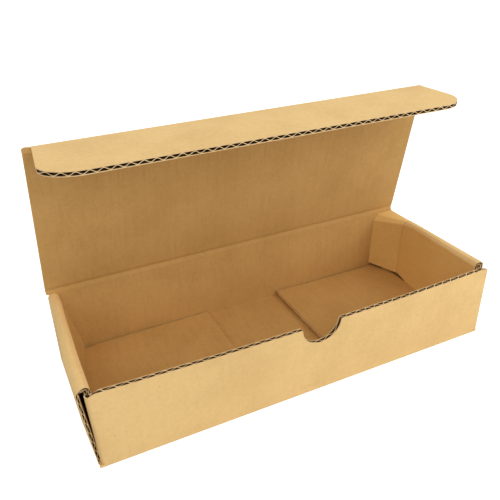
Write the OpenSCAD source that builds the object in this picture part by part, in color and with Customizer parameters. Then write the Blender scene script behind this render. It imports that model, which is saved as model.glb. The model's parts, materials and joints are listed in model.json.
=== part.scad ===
// Corrugated mailer box: one die-cut sheet of single-wall board, folded into a
// tray with rolled double ends, a hinged lid and a tuck flap.
// The origin is the middle of the tray's underside. X runs along the box,
// Y runs from the front wall to the back wall and Z is up.
// The lid stands open and the tuck flap hangs forward from its free edge.

/* [Inside] */
// Inside length between the two inner end panels
inner_l = 254; // [200:1:340]
// Inside depth from the front wall to the back wall
inner_w = 101.6; // [84:0.1:150]
// Inside height from the base up to the closed lid
inner_h = 50.8; // [46:0.1:80]

/* [Board] */
// Thickness of the corrugated board
board_t = 3; // [2.5:0.1:3.6]
// Thickness of each flat liner
liner_t = 0.4; // [0.3:0.05:0.5]
// Thickness of the wavy medium between the liners
medium_t = 0.35; // [0.25:0.05:0.45]
// Distance from one flute to the next
flute_pitch = 6.9; // [5.5:0.1:8.5]
// Width of the medium where it is glued to a liner
crest_w = 0.8; // [0.5:0.1:1.2]
// Outer radius of a folded edge
fold_r = 2; // [1:0.1:2.4]
// Inner radius of a folded edge
crease_r = 0.3; // [0.2:0.05:0.4]
// Length beside a fold where the flutes are crushed shut
crush_l = 3; // [2:0.5:6]
// Air between boards that lie against each other
lie_gap = 0.15; // [0.1:0.05:0.3]

/* [Front wall] */
// How far the front wall's raw edge stops below the closed lid
front_drop = 0.8; // [0.3:0.1:3]
// How far the front wall's top edge bows out at its middle
front_bow = 3; // [0:0.1:5]
// Size of the cut across each top corner of the front wall
front_chamfer = 2.6; // [1:0.1:4]
// How far each end of the front wall stops inside the end wall's face
front_inset = 0.8; // [0.2:0.1:2]
// Radius of the thumb notch
notch_r = 13.2; // [9:0.1:18]
// Radius of the thumb notch's shoulders
notch_shoulder_r = 1; // [0.5:0.1:6]
// Place of the thumb notch along the front wall
notch_x = 2.9; // [-20:0.1:20]

/* [Ends] */
// Width of the rolled top of an end
roll_w = 8.6; // [8.4:0.1:10]
// Outer radius of the roll's two folds
roll_r = 2.6; // [1.5:0.1:3]
// How far the left end wall leans out at its front top corner
left_lean = 4.9; // [0:0.1:7]
// Distance of the left inner panel's foot from the end wall, at the front
left_foot_front = 9.7; // [9:0.1:14]
// Distance of the left inner panel's foot from the end wall, at the back
left_foot_back = 16.8; // [9:0.1:20]
// How far the right end's top leans out at the front
right_lean = 1.8; // [0:0.1:7]
// Distance of the right inner panel's foot from the end wall
right_foot = 8.9; // [8.6:0.1:12]
// Height of the dust flaps between the end panels, up from the base
dust_h = 47.5; // [30:0.5:49]
// Length of each dust flap
dust_l = 44; // [25:1:46]

/* [Floor flaps and corner ear] */
// Distance of each floor flap's free edge from the middle of the box
floor_flap_x = 30; // [10:1:60]
// Air between a floor flap and the front and back walls
floor_flap_gap = 1; // [0.5:0.1:3]
// Size of the cut across each floor flap's corner at the back
floor_chamfer = 6; // [3:0.5:10]
// Place of the ear's fold behind the middle of the box
ear_y = 27.8; // [15:0.1:32]
// How far the ear's free edge stands in from the inner end panel
ear_in = 11; // [5:0.5:14]
// Height of the ear's lower corners at its fold and at its free edge
ear_low = [9.8, 11]; // [0:0.1:30]
// Distance of the ear's top edge below the top of the roll
ear_drop = 4.2; // [3.5:0.1:8]
// Size of the cut across the ear's top free corner
ear_chamfer = 3.5; // [1:0.5:6]
// Size of the cut at the left inner panel's back foot
foot_chamfer = 4; // [2:0.5:8]

/* [Lid and tuck flap] */
// How far each side of the lid stops inside the end wall's face
lid_inset = 1.5; // [0:0.1:3]
// Height of the closed lid's underside above the rolled ends
lid_lift = 1; // [0.2:0.1:2]
// Angle of the open lid, from closed
lid_angle = 78.8; // [60:0.1:100]
// Angle that the tuck flap is folded from the lid's plane
flap_angle = 79.8; // [70:0.1:88]
// Angle of the tuck flap when the lid is closed
flap_closed_angle = 116.1; // [100:0.1:120]
// Length of the tuck flap, outside its fold
flap_l = 47.3; // [30:0.1:49]
// Radius of the tuck flap's free corners
flap_corner_r = 16; // [6:0.5:20]
// How much each side of the tuck flap widens from its fold
flap_flare = 2.5; // [0:0.1:5]
// Straight length of the tuck flap's sides, between their widening and the corners
flap_side_l = 5.8; // [2:0.1:12]
// Air between the tuck flap and what it is tucked between
tuck_gap = 0.6; // [0.3:0.1:2]

/* [Hidden] */

// Overlap where two stretches of the same sheet are joined
lap = 0.5;
// Reach past an edge, so that a cut leaves no skin
past = 1;
// Flat steps along a round fold, a large corner and the bowed wall
fold_steps = 4;
corner_steps = 12;
bow_steps = 28;
// Flat steps each way across an end that is twisted
twist_steps = 4;

end_w = 3 * board_t + 2 * lie_gap;
half_l = inner_l / 2 + end_w;
half_w = inner_w / 2 + board_t;
lid_under = board_t + inner_h;
hinge_r = board_t / 2;
hinge_gap = hinge_r + lie_gap;
hinge = [0, half_w - hinge_r, lid_under + lid_lift + hinge_r];
lid_half = half_l - lid_inset;
front_top = lid_under - front_drop;
roll_top = lid_under - lie_gap;
floor_top = 2 * board_t + lie_gap;
end_half = half_w - board_t - lie_gap;
ear_top = roll_top - ear_drop;
squeezed_t = roll_w - 2 * board_t - 2 * lie_gap;
lid_l = hinge[1] + half_w - board_t - tuck_gap / 2 - hinge_r;
flap_w = 2 * (half_l - roll_w - tuck_gap);
board_colour = "burlywood";
lid_colour = "tan";
flap_colour = "wheat";

// Points of an arc about c, from angle a0 to angle a1
function arc(c, r, a0, a1, steps = fold_steps) =
    [for (i = [0:steps]) let (a = a0 + (a1 - a0) * i / steps) c + r * [cos(a), sin(a)]];

// Points between p and q, at equal steps
function between(p, q, steps) = [for (i = [1:steps - 1]) p + (q - p) * i / steps];

// Solid skinned over rings of a strip's section. Each ring runs out along one
// face of the strip and back along the other, so its points pair up end to end.
module skin(rings) {
    n = len(rings[0]);
    last = (len(rings) - 1) * n;
    sides = [for (j = [0:n:last - n], i = [0:n - 1])
        let (a = j + i, b = j + (i + 1) % n)
            each [[a, b + n, a + n], [a, b, b + n]]];
    first_cap = [for (i = [0:n / 2 - 2])
        each [[i, n - 2 - i, i + 1], [i, n - 1 - i, n - 2 - i]]];
    last_cap = [for (t = first_cap) [last + t[0], last + t[2], last + t[1]]];
    polyhedron([for (ring = rings) each ring], concat(sides, first_cap, last_cap));
}

// Outline of one air channel in a board of thickness t, with its wide side on
// the upper or on the lower liner
function channel(x, t, wide_up) =
    let (
        wide = flute_pitch / 2 - crest_w / 2,
        narrow = crest_w / 2,
        low = wide_up ? liner_t + medium_t : liner_t,
        high = wide_up ? t - liner_t : t - liner_t - medium_t,
        at_low = wide_up ? narrow : wide,
        at_high = wide_up ? wide : narrow
    )
    [[x - at_low, low], [x + at_low, low], [x + at_high, high], [x - at_high, high]];

// The two channels of the flute centred on x
function flute(x, t) =
    [channel(x - flute_pitch / 4, t, false), channel(x + flute_pitch / 4, t, true)];

// Centres of the flutes that fit between x0 and x1
function flute_centres(x0, x1) =
    let (count = floor((x1 - x0) / flute_pitch), middle = (x0 + x1) / 2)
    [for (i = [1:count]) middle + (i - (count + 1) / 2) * flute_pitch];

// Air of one flute, running along +Y from y0 to y1 in a board that lies in XY
module flute_air(x, y0, y1, t = board_t) {
    for (outline = flute(x, t))
        translate([0, y1, 0]) rotate([90, 0, 0]) linear_extrude(y1 - y0) polygon(outline);
}

// Flat board with the child outline, its flutes along Y between y0 and y1
module fluted_board(x0, x1, y0, y1) {
    difference() {
        linear_extrude(board_t) children();
        for (x = flute_centres(x0, x1))
            flute_air(x, y0, y1);
    }
}

// How far a rounded end of radius r cuts into a board's face, d from its end
function end_cut(d, r) = d >= r ? 0 : r - sqrt(r * r - (r - d) * (r - d));

// Standing board from x0 to x1, h high and t thick, whose top edge is pushed out
// by push(x). It lies in XY with its outer face up, and its ends are rounded.
module standing_board(x0, x1, h, t, end_r, push, fluted) {
    bends = [for (i = [0:fold_steps]) end_r * (1 - cos(90 * i / fold_steps))];
    inner_x = [for (i = [1:bow_steps - 1]) x0 + end_r + (x1 - x0 - 2 * end_r) * i / bow_steps];
    stations = concat(
        [for (b = bends) x0 + b],
        inner_x,
        [for (i = [fold_steps:-1:0]) x1 - bends[i]]
    );
    rings = [for (x = stations)
        let (face = t - end_cut(min(x - x0, x1 - x), end_r), out = push(x))
        [[x, -lap, face], [x, 0, face], [x, h, face + out], [x, h, out], [x, 0, 0], [x, -lap, 0]]];
    difference() {
        skin(rings);
        if (fluted)
            for (x = flute_centres(x0 + end_r, x1 - end_r))
                rotate([atan(push(x) / h), 0, 0]) flute_air(x, crush_l, h + past, t);
    }
}

// Bow of the front wall's top edge at x
function bow(x) = front_bow * (1 - pow(x / half_l, 2));

// Half circle whose ends run over round shoulders into the straight edge
module notch_outline() {
    shoulder_x = sqrt(pow(notch_r + notch_shoulder_r, 2) - pow(notch_shoulder_r, 2));
    touch = asin(notch_shoulder_r / (notch_r + notch_shoulder_r));
    step = (180 - 2 * touch) / corner_steps;
    polygon(concat(
        [[-shoulder_x, past], [shoulder_x, past]],
        arc([shoulder_x, -notch_shoulder_r], notch_shoulder_r, 90, 180 - touch),
        arc([0, 0], notch_r, -touch - step, touch + step - 180, corner_steps - 2),
        arc([-shoulder_x, -notch_shoulder_r], notch_shoulder_r, touch, 90)
    ));
}

module front_wall() {
    x_end = half_l - front_inset;
    h = front_top - board_t;
    difference() {
        translate([0, board_t - half_w, board_t]) rotate([90, 0, 0])
            standing_board(-x_end, x_end, h, board_t, fold_r, function (x) bow(x), true);
        translate([notch_x, past, front_top]) rotate([90, 0, 0])
            linear_extrude(half_w + front_bow + 2 * past) notch_outline();
        for (side = [-1, 1])
            translate([side * x_end, 0, front_top]) rotate([0, 45, 0])
                cube([front_chamfer * sqrt(2), 2 * (half_w + past), front_chamfer * sqrt(2)], center = true);
    }
}

module back_wall() {
    x_end = half_l - front_inset;
    translate([0, half_w - board_t, board_t]) rotate([90, 0, 180])
        standing_board(-x_end, x_end, hinge[2] - hinge_gap - board_t, board_t, fold_r, function (x) 0, false);
}

// Base with its rounded folds into the front and back walls
module base() {
    low = concat(
        [[board_t - half_w, board_t], [-half_w, board_t]],
        arc([fold_r - half_w, fold_r], fold_r, 180, 270),
        arc([half_w - fold_r, fold_r], fold_r, 270, 360),
        [[half_w, board_t]]
    );
    length = 2 * (half_l - fold_r);
    translate([-length / 2, 0, 0]) rotate([90, 0, 90]) linear_extrude(length) polygon(low);
}

// The right end is drawn as it stands, and the left end is its mirror image, each
// with its own lean and feet: [lean at the front, foot at the front, foot at the back]
right_end = [right_lean, right_foot, right_foot];
left_end = [left_lean, left_foot_front, left_foot_back];

// 0 at the front of an end, 1 at its back
function along(y) = (y + end_half) / (2 * end_half);
function lean(end, y) = end[0] * (1 - along(y));
function foot(end, y) = end[1] + (end[2] - end[1]) * along(y);
function stations(end, reach) =
    let (steps = end[0] == 0 && end[1] == end[2] ? 1 : twist_steps)
    [for (i = [0:steps]) reach * (2 * i / steps - 1)];
// Points of the outer wall and of the inner panel at height z, n into the board
// from the face that shows
function outer_pt(end, y, z, n) =
    [half_l - n + lean(end, y) * (z - fold_r) / (roll_top - roll_r - fold_r), y, z];
function inner_pt(end, y, z, n) =
    let (low = floor_top + crease_r, u = (z - low) / (roll_top - roll_r - low))
    [half_l - foot(end, y) + n + u * (lean(end, y) + foot(end, y) - roll_w), y, z];

// Section of an end at y, as one folded strip: base, outer wall, roll, inner
// panel and the root of the floor flap. Each bend has the centre and radius of
// its arc on the face that shows, those on the other face, and its angles.
function end_ring(end, y) =
    let (
        out = half_l + lean(end, y),
        panel_x = half_l - foot(end, y),
        root = [half_l - board_t - past, panel_x - crush_l],
        arch = roll_top - board_t - crease_r,
        wall_low = [half_l - board_t - crease_r, board_t + crease_r],
        wall_top = [outer_pt(end, y, arch, board_t)[0] - crease_r, arch],
        panel_top = [inner_pt(end, y, arch, board_t)[0] + crease_r, arch],
        bends = [
            [[half_l - fold_r, fold_r], fold_r, wall_low, crease_r, -90, 0],
            [[out - roll_r, roll_top - roll_r], roll_r, wall_top, crease_r, 0, 90],
            [[out - roll_w + roll_r, roll_top - roll_r], roll_r, panel_top, crease_r, 90, 180],
            [
                [panel_x - crease_r, floor_top + crease_r], crease_r,
                [panel_x + board_t - fold_r, floor_top - board_t + fold_r], fold_r, 0, -90
            ]
        ],
        shown = [for (b = bends) arc(b[0], b[1], b[4], b[5])],
        hidden = [for (b = bends) arc(b[2], b[3], b[5], b[4])],
        section = concat(
            [[root[0], 0]],
            shown[0], between(shown[0][fold_steps], shown[1][0], twist_steps),
            shown[1], shown[2], between(shown[2][fold_steps], shown[3][0], twist_steps), shown[3],
            [[root[1], floor_top], [root[1], floor_top - board_t]],
            hidden[3], between(hidden[3][fold_steps], hidden[2][0], twist_steps),
            hidden[2], hidden[1], between(hidden[1][fold_steps], hidden[0][0], twist_steps), hidden[0],
            [[root[0], board_t]]
        )
    )
    [for (p = section) [p[0], y, p[1]]];

// Air channels along an end's outer wall and inner panel
module end_air(end) {
    ys = stations(end, end_half + past / 2);
    outer_z = flute_centres(board_t + crush_l, roll_top - roll_r);
    inner_z = flute_centres(floor_top + crush_l, roll_top - roll_r);
    for (z = outer_z, outline = flute(z, board_t))
        skin([for (y = ys) [for (p = outline) outer_pt(end, y, p[0], p[1])]]);
    for (z = inner_z, outline = flute(z, board_t))
        skin([for (y = ys) [for (i = [3:-1:0]) inner_pt(end, y, outline[i][0], outline[i][1])]]);
}

module end_panels(end) {
    difference() {
        skin([for (y = stations(end, end_half)) end_ring(end, y)]);
        end_air(end);
    }
}

// Flap that lies on the base, from the inner panel's foot to its free edge
module floor_flap(end) {
    y_end = inner_w / 2 - floor_flap_gap;
    reach = crush_l / 2;
    root = [for (y = [-y_end, y_end]) half_l - foot(end, y) - reach];
    corner = floor_chamfer;
    translate([0, 0, floor_top - board_t])
        fluted_board(floor_flap_x + lap, min(root) - crush_l, -half_w, half_w)
            polygon([
                [floor_flap_x, -y_end], [root[0], -y_end],
                [root[1] - (root[1] - root[0]) * corner / (2 * y_end), y_end - corner],
                [root[1] - corner, y_end], [floor_flap_x, y_end]
            ]);
}

// Flap of the front wall, folded in between the outer wall and the inner panel
module dust_flap(end) {
    root = half_w - board_t + lap;
    tilt_y = function (x) lean(end, x - root) * dust_h / roll_top;
    translate([half_l - board_t - lie_gap - squeezed_t, -root, board_t + lie_gap]) rotate([90, 0, 90])
        standing_board(0, dust_l, dust_h, squeezed_t, lap, tilt_y, true);
}

// The same flap of the back wall
module back_dust_flap(end) {
    turned = [0, end[2], end[1]];
    mirror([0, 1, 0]) dust_flap(turned);
}

// Cut that frees the ear from the roll, the floor flap and the panel's foot
module ear_cut(end) {
    panel_x = half_l - foot(end, ear_y);
    back = end_half + past;
    under = floor_top - board_t;
    relief_y = ear_y - (ear_low[0] - floor_top) * 1.7;
    translate([panel_x - crush_l - past, 0, 0]) rotate([90, 0, 90])
        linear_extrude(foot(end, ear_y) - board_t - lie_gap + crush_l + past)
            polygon([
                [relief_y, under - lie_gap / 2], [relief_y, floor_top], [ear_y, ear_low[0]],
                [ear_y, ear_top], [back, ear_top], [back, under - lie_gap / 2]
            ]);
}

// Point of the bent ear s past its fold, n into the board from the face that
// shows, seen from above with the fold at the origin
function ear_pt(bend, s, n) =
    (crease_r + n) * [cos(bend), sin(bend)] + s * [-sin(bend), cos(bend)] - [crease_r, 0];

// Ear of the right inner panel, bent across the back corner to the back wall
module ear(end) {
    root_x = half_l - foot(end, ear_y) + (foot(end, ear_y) - roll_w) / 2;
    reach_y = inner_w / 2 - lie_gap - ear_y;
    bend = atan(ear_in / reach_y);
    length = (reach_y - (board_t + crease_r) * sin(bend)) / cos(bend);
    low = function (s) ear_low[0] + (ear_low[1] - ear_low[0]) * max(s, 0) / length;
    // Each station: angle turned, distance past the fold and height of the top
    stops = concat(
        [[0, -lap, ear_top]],
        [for (i = [0:fold_steps]) [bend * i / fold_steps, 0, ear_top]],
        [[bend, length - ear_chamfer, ear_top], [bend, length, ear_top - ear_chamfer]]
    );
    translate([root_x, ear_y, 0]) difference() {
        skin([for (q = stops)
            let (a = ear_pt(q[0], q[1], 0), b = ear_pt(q[0], q[1], board_t), z = low(q[1]))
            [[a[0], a[1], z], [b[0], b[1], z], [b[0], b[1], q[2]], [a[0], a[1], q[2]]]]);
        for (z = flute_centres(max(ear_low), ear_top - ear_chamfer), outline = flute(z, board_t))
            skin([for (s = [crush_l, length + past])
                [for (i = [3:-1:0]) let (q = ear_pt(bend, s, outline[i][1])) [q[0], q[1], outline[i][0]]]]);
    }
}

// Small cut at the back foot of the left inner panel
module foot_cut(end) {
    panel_x = half_l - foot(end, end_half);
    translate([panel_x - crush_l - past, 0, 0]) rotate([90, 0, 90])
        linear_extrude(foot(end, end_half) - board_t - lie_gap)
            polygon([
                [end_half - foot_chamfer, floor_top], [end_half + past, floor_top + foot_chamfer],
                [end_half + past, floor_top - board_t - lie_gap / 2],
                [end_half - foot_chamfer, floor_top - board_t - lie_gap / 2]
            ]);
}

module right_end() {
    difference() {
        end_panels(right_end);
        ear_cut(right_end);
    }
    floor_flap(right_end);
    dust_flap(right_end);
    back_dust_flap(right_end);
    ear(right_end);
}

module left_end() {
    mirror([1, 0, 0]) {
        difference() {
            end_panels(left_end);
            foot_cut(left_end);
        }
        floor_flap(left_end);
        dust_flap(left_end);
        back_dust_flap(left_end);
    }
}

module tray() {
    color(board_colour) union() {
        base();
        front_wall();
        back_wall();
        right_end();
        left_end();
    }
}

// Places its child, drawn closed with the hinge line as its X axis, on the tray
module on_hinge() {
    translate(hinge) rotate([-lid_angle, 0, 0]) children();
}

// Round nose of a panel along its fold line, length wide
module fold_nose(length) {
    translate([-length / 2, 0, 0]) rotate([90, 0, 90]) linear_extrude(length)
        polygon(arc([0, 0], hinge_r, -90, 90, 2 * fold_steps));
}

module lid() {
    end_y = hinge_gap - lid_l;
    mitre_z = hinge_gap * (sin(flap_closed_angle) - 1) / cos(flap_closed_angle);
    mitre_y = (hinge_gap - hinge_r * cos(flap_closed_angle)) / sin(flap_closed_angle) - lid_l;
    color(lid_colour) on_hinge() {
        fold_nose(2 * lid_half);
        translate([-lid_half, 0, 0]) rotate([90, 0, 90]) linear_extrude(2 * lid_half)
            polygon([[0, -hinge_r], [0, hinge_r], [end_y, hinge_r], [end_y, mitre_z], [mitre_y, -hinge_r]]);
    }
}

// Outline of the tuck flap, its fold on the X axis and its free edge towards -Y
module tuck_outline() {
    side = flap_w / 2;
    tip = hinge_r - flap_l;
    r = flap_corner_r;
    widest = tip + r + flap_side_l;
    polygon(concat(
        [[flap_flare - side, 0], [-side, widest]],
        arc([r - side, tip + r], r, 180, 270, corner_steps),
        arc([side - r, tip + r], r, 270, 360, corner_steps),
        [[side, widest], [side - flap_flare, 0]]
    ));
}

module tuck_flap() {
    tip = hinge_r - flap_l;
    reach = flap_w / 2 - lap;
    color(flap_colour) on_hinge() translate([0, -lid_l, 0]) rotate([flap_angle, 0, 0]) {
        fold_nose(flap_w - 2 * flap_flare);
        translate([0, 0, -hinge_r]) fluted_board(-reach, reach, tip - past, -crush_l) tuck_outline();
    }
}

tray();
lid();
tuck_flap();
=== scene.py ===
"""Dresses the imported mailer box: board with liners and flutes, folds, creases and kraft paper.

Lengths are in millimetres until a mesh is made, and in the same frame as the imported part:
the origin is the middle of the underside, X to the right, Y to the back and Z up.
"""

import json
import logging
import math
from dataclasses import dataclass, field
from enum import Enum

import bpy
import numpy as np
from mathutils import Euler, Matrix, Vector

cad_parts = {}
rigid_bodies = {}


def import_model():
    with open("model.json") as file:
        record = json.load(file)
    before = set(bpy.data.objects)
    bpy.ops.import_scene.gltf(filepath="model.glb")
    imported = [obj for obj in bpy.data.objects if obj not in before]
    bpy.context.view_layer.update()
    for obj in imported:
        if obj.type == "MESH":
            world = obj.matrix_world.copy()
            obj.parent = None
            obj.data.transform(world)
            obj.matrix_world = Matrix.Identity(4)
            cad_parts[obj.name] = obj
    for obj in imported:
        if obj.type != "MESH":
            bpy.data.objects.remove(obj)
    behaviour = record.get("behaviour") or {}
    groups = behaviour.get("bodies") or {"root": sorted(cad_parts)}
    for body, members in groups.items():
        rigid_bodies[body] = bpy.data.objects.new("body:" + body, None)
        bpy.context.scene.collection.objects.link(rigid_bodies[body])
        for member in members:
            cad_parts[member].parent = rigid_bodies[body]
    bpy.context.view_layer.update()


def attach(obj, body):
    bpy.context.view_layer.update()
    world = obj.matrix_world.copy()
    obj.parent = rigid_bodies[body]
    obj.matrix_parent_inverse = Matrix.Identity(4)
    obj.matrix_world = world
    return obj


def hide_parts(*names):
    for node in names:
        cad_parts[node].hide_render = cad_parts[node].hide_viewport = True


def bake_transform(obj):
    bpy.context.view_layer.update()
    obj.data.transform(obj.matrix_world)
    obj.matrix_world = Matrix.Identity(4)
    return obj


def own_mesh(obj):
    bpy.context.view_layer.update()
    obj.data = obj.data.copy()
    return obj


LOG = logging.getLogger("mailer_box")
MM = 0.001
TINY = 1e-9
MERGE = 0.01
Array = np.ndarray


class Side(Enum):
    """Which end of the box a piece is on, with the sign of its X."""

    LEFT = -1
    RIGHT = 1


class Face(Enum):
    """Material slots of every board piece, in the order in which the materials are appended."""

    OUTER = 0
    # INNER takes the inner kraft, whose darker colour is painted shade.
    INNER = 1
    # FLUTE takes a near-black finish, painted shade inside the flutes.
    FLUTE = 2
    CUT = 3
    # EAR takes a lighter kraft, painted light on the right panel and ear.
    EAR = 4


class Leg(Enum):
    """Stretches of a rolled end's section, from the base's edge round to the floor flap."""

    EDGE = 0
    WALL = 1
    TOP = 2
    BEVEL = 3
    PANEL = 4
    FLOOR = 5


@dataclass(frozen=True)
class Stock:
    """The corrugated board that the sheet is cut from, in mm.

    The web is the thin wall that closes the flutes at a long edge, the crest is the share of
    the medium's half thickness that the wave leaves clear of a liner, and sharp is the angle
    in degrees past which an edge is shaded sharp.
    """

    thickness: float = 3.0
    liner: float = 0.48
    medium: float = 0.5
    crest: float = 0.8
    pitch: float = 6.9
    steps_a_flute: int = 14
    web: float = 0.35
    sharp: float = 21.0


@dataclass(frozen=True)
class Sizes:
    """Main sizes of the folded box, in mm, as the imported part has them."""

    half_l: float = 136.3
    half_w: float = 53.8
    end_half: float = 50.65
    front_top: float = 53.0
    roll_top: float = 53.65
    floor_top: float = 6.15
    front_bow: float = 2.99
    wall_half: float = 135.5
    notch_r: float = 13.2
    notch_shoulder: float = 1.0
    notch_x: float = 2.87
    top_flat: float = 130.8
    top_slope: float = 0.42
    fold_r: float = 2.0
    crease_r: float = 0.3
    crease_reach: float = 2.6
    lie_gap: float = 0.15
    back_top: float = 53.3
    lid_half: float = 134.8
    lid_length: float = 101.3
    lid_angle: float = 78.8
    flap_angle: float = 79.8
    flap_tip: float = 45.8
    hinge: tuple[float, float] = (52.3, 56.3)


STOCK = Stock()
SIZE = Sizes()


def rounded(points: Array, radii: Array, arc_steps: int, run_steps: int) -> Array:
    """Polyline whose inner corners are replaced by tangent arcs.

    At a corner with unit directions a (in) and b (out) turning by the angle w, the arc of
    radius r leaves the corner r * tan(w / 2) before it and its points are the corner's arc
    centre plus r times the turned normal. Each straight run is split into equal steps.

    Args:
        points: corner points, shape (k, 2), the first and last being the ends.
        radii: one radius for each of the k - 2 inner corners.
        arc_steps: steps along each arc.
        run_steps: steps along each straight run.

    Returns:
        Points of shape (n, 2), where n depends only on k and the two step counts.
    """
    pieces = []
    start = points[0]
    for corner, before, after, radius in zip(points[1:-1], points[:-2], points[2:], radii):
        into = (corner - before) / np.linalg.norm(corner - before)
        out = (after - corner) / np.linalg.norm(after - corner)
        turn = math.atan2(into[0] * out[1] - into[1] * out[0], into @ out)
        back = radius * math.tan(abs(turn) / 2)
        first = corner - into * back
        normal = np.array([-into[1], into[0]]) * math.copysign(1, turn)
        centre = first + normal * radius
        angles = np.linspace(0, turn, arc_steps + 1)
        spoke = -normal * radius
        arc = centre + np.stack(
            [
                spoke[0] * np.cos(angles) - spoke[1] * np.sin(angles),
                spoke[0] * np.sin(angles) + spoke[1] * np.cos(angles),
            ],
            axis=1,
        )
        pieces.append(start + (first - start) * np.linspace(0, 1, run_steps, endpoint=False)[:, None])
        pieces.append(arc[:-1])
        start = arc[-1]
    pieces.append(start + (points[-1] - start) * np.linspace(0, 1, run_steps + 1)[:, None])
    return np.concatenate(pieces)


def lengths(path: Array) -> Array:
    """Distance along a path of points from its first point, the points on axis 0."""
    steps = np.linalg.norm(np.diff(path, axis=0), axis=-1)
    return np.concatenate([np.zeros((1,) + steps.shape[1:]), np.cumsum(steps, axis=0)])


def resample(grid: Array, at: Array, new: Array) -> Array:
    """Reads a grid at other values on axis 0, in straight lines between its rows.

    Args:
        grid: rows of points, shape (m, n, d).
        at: the m rising values that the rows stand at.
        new: the k values to read at.

    Returns:
        Points of shape (k, n, d).
    """
    place = np.clip(np.searchsorted(at, new, side="right") - 1, 0, len(at) - 2)
    share = ((new - at[place]) / np.maximum(at[place + 1] - at[place], TINY))[:, None, None]
    return grid[place] * (1 - share) + grid[place + 1] * share


def ramp(value: Array, start: float, end: float) -> Array:
    """0 where a value is at `start` or short of it, 1 at `end` or past it, straight between."""
    return np.clip((np.asarray(value, float) - start) / (end - start), 0, 1)


def joined(*rows: Array) -> Array:
    """All values of several rows, sorted, with those closer than a hundredth of a mm left out."""
    values = np.unique(np.concatenate(rows))
    return values[np.concatenate([[True], np.diff(values) > MERGE])]


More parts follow.
